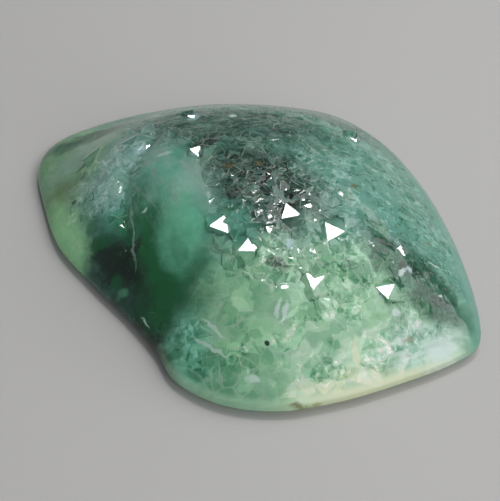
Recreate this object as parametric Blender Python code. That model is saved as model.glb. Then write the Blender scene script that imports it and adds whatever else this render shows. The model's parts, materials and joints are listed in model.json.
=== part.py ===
"""Gem silica druzy: a freeform polished stone whose domed top is a crust of grown-together quartz points.

The stone is one solid. Its outline is a rounded, lopsided kite, its base is ground flat, and a
bevel runs round the girdle. Left of the middle a smooth nodule stands proud beside a groove. The
rest of the dome carries low quartz points with flat faces and a few rounded, glassy nodules, all
fused to the body. Lengths below are in millimetres until a shape is placed, when MM turns them
into metres. +X runs along the stone from its blunt end to its sharp end, and +Z is up.
"""

import math
import random

import bmesh
import bpy
from mathutils import Matrix, Quaternion, Vector, noise

MM = 0.001

# The body: heights, and how far out each edge lies as a share of the girdle. The rim's rings are a
# share and a height each, from the base's edge up to just under the crease.
HEIGHT = 5.9
CREASE_HEIGHT = 1.45
CREASE_AT = 0.925
RIM = [(0.97, 0.0), (1.0, 0.5), (0.99, 0.75), (0.935, 1.35)]
DOME_POWER = 2.0
SPOKES = 92
DOME_RINGS = 12
FIRST_RING_INSET = 0.1
LAST_RING_AT = 0.5
SHARP_ANGLE = math.radians(35.0)
NORMAL_STEP = 0.2

# Points that the girdle passes through, anticlockwise from the sharp end
GIRDLE = [
    (14.7, -1.6), (13.4, 1.2), (10.75, 4.85), (7.55, 8.15), (4.0, 10.6), (0.3, 11.55),
    (-3.85, 10.6), (-7.65, 8.85), (-11.05, 6.4), (-13.5, 3.6), (-14.7, 1.0), (-14.05, -1.35),
    (-12.0, -3.55), (-9.2, -6.1), (-5.75, -7.7), (-2.75, -8.9), (-0.4, -10.05), (1.55, -11.3),
    (4.3, -11.5), (7.15, -10.5), (9.7, -8.5), (12.0, -6.05), (14.0, -3.5),
]
GIRDLE_STEPS = 720

# The smooth hump, with a groove along its outer side. Here and below an ellipse is its centre x
# and y, half its length and width, and its turn in degrees.
HUMP = (-2.9, -3.6, 4.4, 2.2, -47.0)
HUMP_RISE = 0.6
GROOVE = [(-6.6, 0.9), (-6.7, -2.0), (-5.8, -3.9), (-4.8, -5.3), (-3.7, -6.6), (-2.6, -7.6)]
GROOVE_DEPTH = 0.5
GROOVE_HALF_WIDTH = 0.5
HUMP_FADE = 0.82
WAVE_HEIGHT = 0.1
WAVES_PER_MM = 0.35

# The quartz crust lies in a shallow hollow inside the polished rim, and leaves these patches bare
CRUST_SINK = 0.28
CRUST_EDGE = 0.91
CRUST_FADE = 0.07
PATCH_FADE = (0.85, 1.1)
SMOOTH_PATCHES = [
    (-2.9, -3.6, 4.3, 2.0, -47.0),
    (0.0, -7.2, 2.4, 1.8, -25.0),
    (-12.4, -0.8, 3.2, 5.0, 0.0),
    (-4.7, -6.9, 3.6, 1.5, -28.0),
    (6.9, 2.9, 3.4, 1.6, -48.0),
]

# Quartz points: steepness is the height of the pyramid as a share of its radius, and root is the
# depth of the prism below it as a share of that height
SEED = 11
POINT_SPACING = 1.2
POINT_JITTER = 0.3
POINT_RADIUS = (1.2, 1.65)
POINT_TILT = math.radians(19.0)
POINT_STEEPNESS = 0.5
POINT_RISE = 0.4
POINT_RISE_LIMIT = 0.7
POINT_LEANS = [(0.0, 0.0), (0.22, 0.088), (-0.35, -0.14)]
POINT_ROOT = 1.0
RIM_ROOM = 0.8
THINNEST_CRUST = 0.35

# Broad points with one face turned to catch the light: x, y, radius
BRIGHT_POINTS = [
    (-6.9, 0.8, 1.3), (-5.6, 3.4, 1.0), (-3.3, -0.1, 1.0), (0.5, -4.1, 1.2), (2.4, -4.8, 1.1),
    (3.5, -1.9, 1.1), (5.7, -1.7, 1.2), (6.2, -4.5, 1.1), (9.9, -2.6, 1.3), (2.9, 7.6, 1.0),
    (9.3, -0.5, 1.0), (-8.0, 3.7, 1.0),
]
BRIGHT_NORMAL = Vector((0.154, 0.079, 0.985)).normalized()
BRIGHT_STEEPNESS = 0.36
BRIGHT_CLEARANCE = 0.6
GOLDEN_TURN = 2.4

# Rounded glassy nodules: an ellipse, then how far the nodule stands up
NODULES = [
    (3.5, -7.6, 2.5, 2.1, 15.0, 0.45),
    (5.3, -6.3, 1.5, 1.1, 40.0, 0.40),
    (6.0, -8.8, 1.6, 1.4, 10.0, 0.38),
    (8.7, -6.1, 1.7, 1.3, 35.0, 0.38),
    (9.6, -4.2, 1.4, 1.1, 20.0, 0.32),
    (3.0, -9.5, 1.5, 1.0, -10.0, 0.28),
    (7.2, -7.2, 1.2, 1.0, 60.0, 0.32),
]
NODULE_HALF_HEIGHT = 1.0
NODULE_CLEARANCE = 0.75


def clear_scene():
    for obj in list(bpy.data.objects):
        bpy.data.objects.remove(obj)


def smooth_step(low, high, value):
    share = min(1.0, max(0.0, (value - low) / (high - low)))
    return share * share * (3.0 - 2.0 * share)


def closed_spline(points, count):
    """count points evenly spaced in parameter on a closed Catmull-Rom curve."""
    total = len(points)
    found = []
    for step in range(count):
        along = step * total / count
        first = int(along)
        t = along - first
        a, b, c, d = (Vector(points[(first + k) % total]) for k in (-1, 0, 1, 2))
        bend = (c - a) * t + (2 * a - 5 * b + 4 * c - d) * t**2 + (3 * b - 3 * c + d - a) * t**3
        found.append(b + 0.5 * bend)
    return found


FINE_GIRDLE = closed_spline(GIRDLE, GIRDLE_STEPS)
GIRDLE_HEADINGS = [(math.atan2(point.y, point.x), point.length) for point in FINE_GIRDLE]


def girdle_share(x, y):
    """How far out a plan point lies, from 0 at the centre to 1 on the girdle."""
    heading = math.atan2(y, x)
    nearest = min(GIRDLE_HEADINGS, key=lambda p: abs(math.remainder(p[0] - heading, math.tau)))
    return math.hypot(x, y) / nearest[1]


def room_to_girdle(x, y):
    here = Vector((x, y))
    return min((point - here).length for point in FINE_GIRDLE)


def ellipse_share(x, y, ellipse):
    """0 at the ellipse's centre and 1 on its edge."""
    centre_x, centre_y, half_length, half_width, turn = ellipse
    local = Matrix.Rotation(-math.radians(turn), 2) @ Vector((x - centre_x, y - centre_y))
    return math.hypot(local.x / half_length, local.y / half_width)


def distance_to_line(x, y, points):
    here = Vector((x, y))
    nearest = math.inf
    for start, end in zip(points, points[1:]):
        a, b = Vector(start), Vector(end)
        share = min(1.0, max(0.0, (here - a).dot(b - a) / (b - a).length_squared))
        nearest = min(nearest, (here - a.lerp(b, share)).length)
    return nearest


def crust_share(x, y):
    """1 where quartz points cover the dome, 0 on the polished rim and the smooth patches."""
    cover = 1.0 - smooth_step(CRUST_EDGE - CRUST_FADE, CRUST_EDGE, girdle_share(x, y))
    for patch in SMOOTH_PATCHES:
        cover = min(cover, smooth_step(*PATCH_FADE, ellipse_share(x, y, patch)))
    return cover


def dome_height(x, y):
    """Height of the body's surface inside the crease."""
    share = girdle_share(x, y)
    inner = min(1.0, share / CREASE_AT)
    height = CREASE_HEIGHT + (HEIGHT - CREASE_HEIGHT) * (1.0 - inner**DOME_POWER)
    fade = 1.0 - smooth_step(HUMP_FADE, CREASE_AT, share)
    height += HUMP_RISE * fade * (1.0 - smooth_step(0.0, PATCH_FADE[1], ellipse_share(x, y, HUMP)))
    groove = distance_to_line(x, y, GROOVE) / GROOVE_HALF_WIDTH
    height -= GROOVE_DEPTH * fade * math.exp(-groove * groove)
    height -= CRUST_SINK * crust_share(x, y)
    return height + WAVE_HEIGHT * fade * noise.noise(Vector((x, y, 0.0)) * WAVES_PER_MM)


def on_dome(x, y):
    return Vector((x, y, dome_height(x, y)))


def dome_normal(x, y):
    along_x = on_dome(x + NORMAL_STEP, y) - on_dome(x - NORMAL_STEP, y)
    along_y = on_dome(x, y + NORMAL_STEP) - on_dome(x, y - NORMAL_STEP)
    return along_x.cross(along_y).normalized()


def finished_mesh(name, shape):
    bmesh.ops.recalc_face_normals(shape, faces=shape.faces)
    mesh = bpy.data.meshes.new(name)
    shape.to_mesh(mesh)
    shape.free()
    return mesh


def body_mesh():
    """Rings of the girdle's shape, extruded from the flat base up over the bevel and the dome."""
    ring_gap = CREASE_AT / (DOME_RINGS + LAST_RING_AT)
    rings = RIM + [(CREASE_AT - (step + FIRST_RING_INSET) * ring_gap, None) for step in range(DOME_RINGS)]

    shape = bmesh.new()
    bmesh.ops.create_circle(shape, segments=SPOKES, radius=1.0, cap_ends=True)
    ring = sorted(shape.verts, key=lambda v: math.atan2(v.co.y, v.co.x) % math.tau)
    edges = list(shape.edges)
    girdle = closed_spline(GIRDLE, SPOKES)
    for number, (share, height) in enumerate(rings):
        if number:
            made = bmesh.ops.extrude_edge_only(shape, edges=edges)["geom"]
            new = {item for item in made if isinstance(item, bmesh.types.BMVert)}
            ring = [next(e.other_vert(v) for e in v.link_edges if e.other_vert(v) in new) for v in ring]
            edges = [e for e in made if isinstance(e, bmesh.types.BMEdge) and set(e.verts) <= new]
        for vertex, outer in zip(ring, girdle):
            place = outer * share
            z = dome_height(place.x, place.y) if height is None else height
            vertex.co = Vector((place.x, place.y, z)) * MM
    cap = bmesh.ops.contextual_create(shape, geom=ring)["faces"]
    bmesh.ops.poke(shape, faces=cap)
    mesh = finished_mesh("stone_body", shape)
    mesh.shade_smooth()
    mesh.set_sharp_from_angle(angle=SHARP_ANGLE)
    return mesh


def quartz_point_mesh(name, lean_x, lean_y):
    """A six-sided prism of unit radius under a pyramid of unit height, its apex off centre by the lean."""
    shape = bmesh.new()
    bmesh.ops.create_cone(shape, segments=6, radius1=1.0, radius2=1.0, depth=POINT_ROOT, cap_ends=True)
    bmesh.ops.translate(shape, verts=shape.verts, vec=(0, 0, -POINT_ROOT / 2))
    top = max(shape.faces, key=lambda face: face.calc_center_median().z)
    apex = bmesh.ops.poke(shape, faces=[top])["verts"][0]
    apex.co = Vector((lean_x, lean_y, 1.0))
    return finished_mesh(name, shape)


def nodule_mesh():
    shape = bmesh.new()
    bmesh.ops.create_uvsphere(shape, u_segments=20, v_segments=12, radius=1.0)
    mesh = finished_mesh("nodule", shape)
    mesh.shade_smooth()
    return mesh


def add_grown_on(name, mesh, matrix, collection):
    obj = bpy.data.objects.new(name, mesh)
    obj.matrix_world = Matrix.Scale(MM, 4) @ matrix
    obj.hide_render = True
    obj.display_type = "WIRE"
    collection.objects.link(obj)


def crust_places(generator):
    """Plan points of the crust, on a jittered triangular grid."""
    row_gap = POINT_SPACING * math.sqrt(3) / 2
    rows = int(max(abs(y) for x, y in GIRDLE) / row_gap) + 1
    columns = int(max(abs(x) for x, y in GIRDLE) / POINT_SPACING) + 1
    for row in range(-rows, rows + 1):
        for column in range(-columns, columns + 1):
            x = (column + 0.5 * (row % 2)) * POINT_SPACING + generator.uniform(-1, 1) * POINT_JITTER
            y = row * row_gap + generator.uniform(-1, 1) * POINT_JITTER
            if crust_share(x, y) > THINNEST_CRUST:
                yield x, y


def tilted(normal, tilt, heading):
    side = normal.orthogonal().normalized()
    side.rotate(Quaternion(normal, heading))
    return (normal * math.cos(tilt) + side * math.sin(tilt)).normalized()


def standing_point(x, y, radius, steepness, up, spin):
    """The matrix that stands a unit quartz point in the crust, its tip just clear of the dome."""
    height = steepness * radius
    rise = min(POINT_RISE * crust_share(x, y), POINT_RISE_LIMIT * height)
    tip = on_dome(x, y) + dome_normal(x, y) * rise
    turn = up.to_track_quat("Z", "Y") @ Quaternion((0, 0, 1), spin)
    size = Matrix.Diagonal((radius, radius, height, 1.0))
    return Matrix.Translation(tip - up * height) @ turn.to_matrix().to_4x4() @ size


def is_taken(x, y):
    """Whether a bright point or a nodule already stands here."""
    if any(math.hypot(x - bx, y - by) < BRIGHT_CLEARANCE * size for bx, by, size in BRIGHT_POINTS):
        return True
    return any(ellipse_share(x, y, nodule[:5]) < NODULE_CLEARANCE for nodule in NODULES)


def add_quartz_points(collection):
    generator = random.Random(SEED)
    shapes = [quartz_point_mesh(f"quartz_point_{k}", *lean) for k, lean in enumerate(POINT_LEANS)]
    count = 0
    for x, y in crust_places(generator):
        radius = min(generator.uniform(*POINT_RADIUS), RIM_ROOM * room_to_girdle(x, y))
        tilt = POINT_TILT * math.sqrt(generator.random())
        up = tilted(dome_normal(x, y), tilt, generator.uniform(0, math.tau))
        spin = generator.uniform(0, math.tau)
        if is_taken(x, y):
            continue
        matrix = standing_point(x, y, radius, POINT_STEEPNESS, up, spin)
        add_grown_on(f"quartz_{count:03d}", shapes[count % len(shapes)], matrix, collection)
        count += 1
    return count


def add_bright_points(collection):
    """Points that lean so that one of the pyramid's six faces lies square to BRIGHT_NORMAL."""
    shape = quartz_point_mesh("bright_point", 0.0, 0.0)
    half_side = math.pi / 6
    face_slope = math.atan(BRIGHT_STEEPNESS / math.cos(half_side))
    for number, (x, y, radius) in enumerate(BRIGHT_POINTS):
        up = tilted(BRIGHT_NORMAL, face_slope, number * GOLDEN_TURN)
        outward = up.to_track_quat("Z", "Y").inverted() @ BRIGHT_NORMAL
        spin = math.atan2(outward.y, outward.x) - half_side
        matrix = standing_point(x, y, radius, BRIGHT_STEEPNESS, up, spin)
        add_grown_on(f"bright_{number:02d}", shape, matrix, collection)


def add_nodules(collection):
    shape = nodule_mesh()
    for number, (x, y, half_length, half_width, turn, rise) in enumerate(NODULES):
        normal = dome_normal(x, y)
        centre = on_dome(x, y) + normal * (rise - NODULE_HALF_HEIGHT)
        turned = normal.to_track_quat("Z", "Y") @ Quaternion((0, 0, 1), math.radians(turn))
        size = Matrix.Diagonal((half_length, half_width, NODULE_HALF_HEIGHT, 1.0))
        matrix = Matrix.Translation(centre) @ turned.to_matrix().to_4x4() @ size
        add_grown_on(f"nodule_{number}", shape, matrix, collection)


def stone_material():
    material = bpy.data.materials.new("gem_silica")
    material.use_nodes = True
    shader = material.node_tree.nodes["Principled BSDF"]
    shader.inputs["Base Color"].default_value = (0.12, 0.42, 0.27, 1.0)
    shader.inputs["Roughness"].default_value = 0.12
    shader.inputs["Metallic"].default_value = 0.0
    shader.inputs["IOR"].default_value = 1.54
    return material


def main():
    clear_scene()
    stone_parts = bpy.data.collections.new("gem_silica_druzy")
    grown_on = bpy.data.collections.new("grown_on")
    for collection in (stone_parts, grown_on):
        bpy.context.scene.collection.children.link(collection)

    stone = bpy.data.objects.new("druzy_stone", body_mesh())
    stone.data.materials.append(stone_material())
    stone_parts.objects.link(stone)

    count = add_quartz_points(grown_on)
    add_bright_points(grown_on)
    add_nodules(grown_on)
    print(f"{count} quartz points, {len(BRIGHT_POINTS)} bright points, {len(NODULES)} nodules")

    fuse = stone.modifiers.new("fuse_crystals", "BOOLEAN")
    fuse.operation = "UNION"
    fuse.operand_type = "COLLECTION"
    fuse.collection = grown_on
    fuse.solver = "EXACT"


main()
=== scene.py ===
# %% [markdown]
# # Gem silica druzy
# Gem silica is chalcedony coloured blue-green by copper. This stone was cut as a low freeform dome,
# and its top keeps what grew there, nearly level now: a crust of small quartz points, a smooth hump
# and some rounded, glassy nodules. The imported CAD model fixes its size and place. The outline here is
# the CAD model's, but for a blunt end that is a little shorter and thinner.

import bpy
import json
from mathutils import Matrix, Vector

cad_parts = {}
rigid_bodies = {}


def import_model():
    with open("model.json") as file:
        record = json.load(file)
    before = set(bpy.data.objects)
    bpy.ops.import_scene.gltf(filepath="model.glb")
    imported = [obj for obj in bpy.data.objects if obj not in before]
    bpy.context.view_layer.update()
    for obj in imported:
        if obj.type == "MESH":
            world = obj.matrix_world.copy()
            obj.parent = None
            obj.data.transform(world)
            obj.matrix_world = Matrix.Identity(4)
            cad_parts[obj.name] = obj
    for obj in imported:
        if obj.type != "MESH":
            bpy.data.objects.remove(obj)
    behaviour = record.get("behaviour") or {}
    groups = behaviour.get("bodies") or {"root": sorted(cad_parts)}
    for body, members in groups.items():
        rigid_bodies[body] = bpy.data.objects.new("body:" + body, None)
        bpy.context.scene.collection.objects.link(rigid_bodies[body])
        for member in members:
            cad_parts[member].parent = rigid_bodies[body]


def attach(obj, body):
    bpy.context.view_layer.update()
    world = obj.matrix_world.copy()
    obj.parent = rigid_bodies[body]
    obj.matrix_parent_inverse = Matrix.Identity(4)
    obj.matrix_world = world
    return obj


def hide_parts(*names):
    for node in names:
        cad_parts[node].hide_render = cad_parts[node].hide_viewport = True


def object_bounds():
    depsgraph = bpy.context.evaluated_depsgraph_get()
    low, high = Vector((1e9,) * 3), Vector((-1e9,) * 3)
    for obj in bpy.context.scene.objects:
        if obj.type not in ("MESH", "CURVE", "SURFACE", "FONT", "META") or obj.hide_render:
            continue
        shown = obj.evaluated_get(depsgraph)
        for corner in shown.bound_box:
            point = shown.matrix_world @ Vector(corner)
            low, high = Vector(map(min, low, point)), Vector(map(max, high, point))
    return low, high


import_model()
CAD_BOX = [list(corner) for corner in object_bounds()]

import json
import math
import random

import bpy
import numpy as np
from mathutils import Matrix, Quaternion, Vector, noise
from mathutils.bvhtree import BVHTree

MM = 0.001
print("CAD box in mm:", [[round(value / MM, 2) for value in corner] for corner in CAD_BOX])

# %% [markdown]
# Modelling operators act on whatever is selected, and the frame arrives selected. So each step
# starts by choosing one object, and a helper does that everywhere.

# %% Choose one object
def choose(obj):
    bpy.ops.object.select_all(action="DESELECT")
    obj.select_set(True)
    bpy.context.view_layer.objects.active = obj


bpy.ops.object.select_all(action="DESELECT")

# %% [markdown]
# ## Camera
# The photo looks down on the stone from close by, with its sharp end to the right. The angle of about
# 47 degrees and the distance are assumed. The outline was traced from the photo and laid out flat
# with this camera, which looks at the middle of the picture.

# %% Camera
CAMERA_ELEVATION = math.radians(47.0)
CAMERA_AZIMUTH = math.radians(27.42)
CAMERA_DISTANCE = 61.9 * MM
CAMERA_LENS = 80.0
PICTURE_MIDDLE = Vector((1.3764, -2.5341, 2.0)) * MM

TO_CAMERA = Vector((0.0, -math.cos(CAMERA_ELEVATION), math.sin(CAMERA_ELEVATION)))
TO_CAMERA.rotate(Quaternion((0, 0, 1), CAMERA_AZIMUTH))
bpy.ops.object.camera_add(location=PICTURE_MIDDLE + TO_CAMERA * CAMERA_DISTANCE)
camera = bpy.context.object
camera.rotation_euler = TO_CAMERA.to_track_quat("Z", "Y").to_euler()
camera.data.lens = CAMERA_LENS
camera.data.clip_start = MM
bpy.context.scene.camera = camera
print("camera", [round(value / MM, 1) for value in camera.location], "mm")

# %% [markdown]
# ## The body's shape
# A freeform cabochon has no simple formula, so its outline is a handful of points joined by a smooth
# closed curve. Everything else on the stone is measured as a share of the way out to that outline:
# the ground base, the widest edge, the crease where the dome begins, and the edge of the crust.

# %% Outline
GIRDLE = [
    (14.7, -1.6), (13.4, 1.2), (10.75, 4.85), (7.55, 8.15), (4.0, 10.6), (0.3, 11.55),
    (-3.85, 10.55), (-7.6, 8.7), (-10.95, 6.15), (-13.3, 3.4), (-14.4, 0.95), (-13.9, -1.35),
    (-12.0, -3.55), (-9.2, -6.1), (-5.75, -7.7), (-2.75, -8.9), (-0.4, -10.05), (1.55, -11.3),
    (4.3, -11.5), (7.15, -10.5), (9.7, -8.5), (12.0, -6.05), (14.0, -3.5),
]


def closed_spline(points, count):
    """count points evenly spaced in parameter on a closed Catmull-Rom curve."""
    total = len(points)
    found = []
    for step in range(count):
        along = step * total / count
        first = int(along)
        t = along - first
        a, b, c, d = (Vector(points[(first + k) % total]) for k in (-1, 0, 1, 2))
        bend = (c - a) * t + (2 * a - 5 * b + 4 * c - d) * t**2 + (3 * b - 3 * c + d - a) * t**3
        found.append(b + 0.5 * bend)
    return found


FINE_GIRDLE = closed_spline(GIRDLE, 720)
GIRDLE_XY = np.array([point[:] for point in FINE_GIRDLE])
GIRDLE_HEADING = np.arctan2(GIRDLE_XY[:, 1], GIRDLE_XY[:, 0])
GIRDLE_REACH = np.hypot(GIRDLE_XY[:, 0], GIRDLE_XY[:, 1])
print("outline spans", np.ptp(GIRDLE_XY, axis=0).round(2), "mm")


# %% Measures on the plan
def smooth_step(low, high, value):
    share = min(1.0, max(0.0, (value - low) / (high - low)))
    return share * share * (3.0 - 2.0 * share)


def girdle_share(x, y):
    """How far out a plan point lies, from 0 at the centre to 1 on the girdle."""
    reach = np.interp(math.atan2(y, x), GIRDLE_HEADING, GIRDLE_REACH, period=math.tau)
    return math.hypot(x, y) / reach


def room_to_girdle(x, y):
    return float(np.min(np.hypot(GIRDLE_XY[:, 0] - x, GIRDLE_XY[:, 1] - y)))


def ellipse_share(x, y, ellipse):
    """0 at the centre and 1 on the edge of (centre x, centre y, half length, half width, turn)."""
    centre_x, centre_y, half_length, half_width, turn = ellipse
    local = Matrix.Rotation(-math.radians(turn), 2) @ Vector((x - centre_x, y - centre_y))
    return math.hypot(local.x / half_length, local.y / half_width)


def distance_to_line(x, y, points):
    here = Vector((x, y))
    nearest = math.inf
    for start, end in zip(points, points[1:]):
        a, b = Vector(start), Vector(end)
        share = min(1.0, max(0.0, (here - a).dot(b - a) / (b - a).length_squared))
        nearest = min(nearest, (here - a.lerp(b, share)).length)
    return nearest


# %% [markdown]
# The dome is a parabola from the crease up to the middle, thinner towards the blunt end. The bevel and
# the shoulder are lists of share and height. The hump and its groove are added to that height, and the
# quartz crust starts from a shallow hollow, so that the tips of its points come level with the rim.

# %% Height of the dome
HEIGHT = 5.9
CREASE_HEIGHT = 1.45
GIRDLE_HEIGHT = 0.5
CREASE_AT = 0.925
BASE_AT = 0.97
DOME_POWER = 2.0
BEVEL = [(BASE_AT, 0.0), (0.992, 0.28)]
SHOULDER = [
    (1.0, GIRDLE_HEIGHT), (0.997, 0.65), (0.985, 0.84), (0.96, 1.13), (0.938, 1.36),
    (CREASE_AT, CREASE_HEIGHT),
]
THIN_END = 0.4
THIN_ZONE = (7.0, 14.0)
HUMP = (-2.9, -3.6, 4.4, 2.2, -47.0)
HUMP_RISE = 0.45
GROOVE = [(-6.6, 0.9), (-6.7, -2.0), (-5.8, -3.9), (-4.8, -5.3), (-3.7, -6.6), (-2.6, -7.6)]
GROOVE_DEPTH = 0.32
GROOVE_HALF_WIDTH = 0.42
HUMP_FADE = 0.82
WAVE_HEIGHT = 0.1
WAVES_PER_MM = 0.35
CRUST_SINK = 0.28
CRUST_EDGE = 0.91
CRUST_FADE = 0.07
PATCH_FADE = (0.85, 1.1)
SMOOTH_PATCHES = [
    (-2.9, -3.6, 4.3, 2.0, -47.0),
    (0.0, -7.2, 2.4, 1.8, -25.0),
    (-12.4, -0.8, 3.2, 5.0, 0.0),
    (-4.7, -6.9, 3.6, 1.5, -28.0),
    (6.9, 2.9, 3.4, 1.6, -48.0),
]


def crust_share(x, y):
    """1 where quartz points cover the dome, 0 on the polished rim and the smooth patches."""
    cover = 1.0 - smooth_step(CRUST_EDGE - CRUST_FADE, CRUST_EDGE, girdle_share(x, y))
    for patch in SMOOTH_PATCHES:
        cover = min(cover, smooth_step(*PATCH_FADE, ellipse_share(x, y, patch)))
    return cover


def shoulder_height(share):
    """Height of the rounded shoulder between the girdle and the crease."""
    shares, heights = zip(*reversed(SHOULDER))
    return float(np.interp(share, shares, heights))


def ground_height(x, y):
    """The stone as it would be polished, with no hollow for the crust."""
    share = girdle_share(x, y)
    thickness = 1.0 - THIN_END * smooth_step(*THIN_ZONE, -x)
    if share > CREASE_AT:
        return GIRDLE_HEIGHT + (shoulder_height(share) - GIRDLE_HEIGHT) * thickness
    height = CREASE_HEIGHT + (HEIGHT - CREASE_HEIGHT) * (1.0 - (share / CREASE_AT) ** DOME_POWER)
    height = GIRDLE_HEIGHT + (height - GIRDLE_HEIGHT) * thickness
    fade = 1.0 - smooth_step(HUMP_FADE, CREASE_AT, share)
    height += HUMP_RISE * fade * (1.0 - smooth_step(0.0, PATCH_FADE[1], ellipse_share(x, y, HUMP)))
    groove = distance_to_line(x, y, GROOVE) / GROOVE_HALF_WIDTH
    height -= GROOVE_DEPTH * fade * math.exp(-groove * groove)
    return height + WAVE_HEIGHT * fade * noise.noise(Vector((x, y, 0.0)) * WAVES_PER_MM)


def dome_height(x, y):
    return ground_height(x, y) - CRUST_SINK * crust_share(x, y)


def on_dome(x, y):
    return Vector((x, y, dome_height(x, y)))


def dome_normal(x, y):
    step = 0.2
    along_x = on_dome(x + step, y) - on_dome(x - step, y)
    along_y = on_dome(x, y + step) - on_dome(x, y - step)
    return along_x.cross(along_y).normalized()


print("dome height in the middle:", round(dome_height(0.0, 0.0), 2), "mm")

# %% [markdown]
# ## Modelling the body
# The base starts as a filled circle whose points are moved onto the outline. Extruding its face and
# scaling it towards the centre makes the bevel and then ring after ring of the dome, and a poke
# closes the middle. The rings then only have to be lifted to the dome's height.

# %% The body
SPOKES = 260
DOME_RINGS = 64
SHARP_ANGLE = math.radians(35.0)
A_LITTLE = 0.01


def extrude_ring(rise, scale):
    """Extrudes the selected face upwards, then scales it about the stone's centre."""
    bpy.ops.mesh.extrude_region_move(TRANSFORM_OT_translate={"value": (0, 0, rise * MM)})
    bpy.ops.transform.resize(value=(scale, scale, 1.0), center_override=(0, 0, 0))


bpy.ops.mesh.primitive_circle_add(vertices=SPOKES, radius=HEIGHT * MM, fill_type="NGON")
gem = bpy.context.object
gem.name = "druzy_gem"
for vertex, rim_point in zip(gem.data.vertices, closed_spline(GIRDLE, SPOKES)):
    vertex.co = (rim_point * BASE_AT * MM).to_3d()

bpy.ops.object.mode_set(mode="EDIT")
bpy.ops.mesh.select_all(action="SELECT")
wall = [*BEVEL, *SHOULDER]
for (share, height), (next_share, next_height) in zip(wall, wall[1:]):
    extrude_ring(next_height - height, next_share / share)
for ring in range(DOME_RINGS, 1, -1):
    extrude_ring(HEIGHT / DOME_RINGS, (ring - 1) / ring)
bpy.ops.mesh.poke()
bpy.ops.mesh.select_all(action="SELECT")
bpy.ops.mesh.normals_make_consistent(inside=False)
bpy.ops.object.mode_set(mode="OBJECT")
for vertex in gem.data.vertices:
    if vertex.co.z > (GIRDLE_HEIGHT + A_LITTLE) * MM:
        vertex.co.z = dome_height(vertex.co.x / MM, vertex.co.y / MM) * MM
bpy.ops.object.shade_smooth_by_angle(angle=SHARP_ANGLE)
print("body:", len(gem.data.polygons), "faces")

# %% [markdown]
# ## One quartz point
# A quartz crystal ends in a six-sided pyramid on a six-sided prism. It is modelled one millimetre in
# radius: a cylinder of six sides, its top poked up into a pyramid, and narrow chamfers on its edges,
# because even a sharp crystal's edges catch a thin line of light. Few points on this stone are whole.
# Most lean, and a slanting cut has taken their tips off, which gives the crust its blocky look. The
# chamfers take a material slot of their own, to be found again after the stone is one solid.

# %% Model the points
POLISHED, FACET, CHAMFER, NODULE, BRIGHT = range(5)
FINISH_NAMES = ("polished", "facet", "chamfer", "nodule", "bright")
FINISHES = [bpy.data.materials.new(name) for name in FINISH_NAMES]
for finish in FINISHES:
    gem.data.materials.append(finish)

POINT_STEEPNESS = 0.5
BRIGHT_STEEPNESS = 0.36
TALL_STEEPNESS = 0.8
POINT_ROOT = 0.32
CHAMFER_WIDTH = 0.028
FACING_UP = 0.9
LEAN_ASIDE = 0.4
# How far the tip leans in radii, the share of the height that the cut leaves, the cut's slant
WHOLE = (0.0, 1.0, 0.0)
FORMS = [
    (0.22, 0.66, 9.0), (-0.4, 0.8, -12.0), (0.45, 0.58, 7.0), (-0.2, 0.5, 13.0), (0.6, 0.85, -6.0),
]


def model_point(name, steepness, lean, cut_share, cut_tilt):
    """A quartz point with its shoulder at z 0, and the height of its tip before the cut, in radii."""
    choose(gem)
    bpy.ops.mesh.primitive_cylinder_add(
        vertices=6, radius=MM, depth=POINT_ROOT * MM, location=(0, 0, -POINT_ROOT * MM / 2),
        rotation=(0, 0, math.pi / 6))
    point = bpy.context.object
    point.name = name
    bpy.ops.object.transform_apply(location=True, rotation=True, scale=True)
    for finish in FINISHES:
        point.data.materials.append(finish)
    for face in point.data.polygons:
        face.select = face.normal.z > FACING_UP
    bpy.ops.object.mode_set(mode="EDIT")
    bpy.ops.mesh.select_mode(type="FACE")
    bpy.ops.mesh.poke()
    bpy.ops.object.mode_set(mode="OBJECT")
    apex = min(point.data.vertices, key=lambda v: v.co.xy.length)
    apex.co = Vector((lean, LEAN_ASIDE * lean, steepness)) * MM
    bpy.ops.object.mode_set(mode="EDIT")
    bpy.ops.mesh.select_all(action="SELECT")
    if cut_share < 1.0:
        slant = math.radians(cut_tilt)
        cut_centre = (lean * MM, LEAN_ASIDE * lean * MM, cut_share * steepness * MM)
        bpy.ops.mesh.bisect(plane_co=cut_centre, plane_no=(math.sin(slant), 0.0, math.cos(slant)),
                            use_fill=True, clear_outer=True)
    bpy.ops.object.mode_set(mode="OBJECT")
    point.data.polygons.foreach_set("material_index", [FACET] * len(point.data.polygons))
    for edge in point.data.edges:
        edge.select = all(point.data.vertices[k].co.z > -A_LITTLE * MM for k in edge.vertices)
    bpy.ops.object.mode_set(mode="EDIT")
    bpy.ops.mesh.select_mode(type="EDGE")
    bpy.ops.mesh.bevel(offset=CHAMFER_WIDTH * MM, segments=1, affect="EDGES", material=CHAMFER)
    bpy.ops.mesh.select_all(action="SELECT")
    bpy.ops.mesh.normals_make_consistent(inside=False)
    bpy.ops.object.mode_set(mode="OBJECT")
    return point


large_points = [model_point(f"point_{k}", POINT_STEEPNESS, *form) for k, form in enumerate(FORMS)]
small_points = [
    model_point(f"small_point_{k}", TALL_STEEPNESS, *form) for k, form in enumerate([WHOLE, *FORMS])]
bright_point = model_point("bright_point", BRIGHT_STEEPNESS, *WHOLE)
for face in bright_point.data.polygons:
    if face.material_index == FACET:
        face.material_index = BRIGHT
print("faces of the points:", [len(point.data.polygons) for point in large_points])

# %% [markdown]
# ## The crust
# The points stand close together on a jittered grid, each leaning its own way, and sunk so far that
# only their pyramids show. A fixed seed makes the same stone every time. Some broad points have one
# face turned so that it mirrors the main light: those are the white flashes of a druzy stone.

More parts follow.
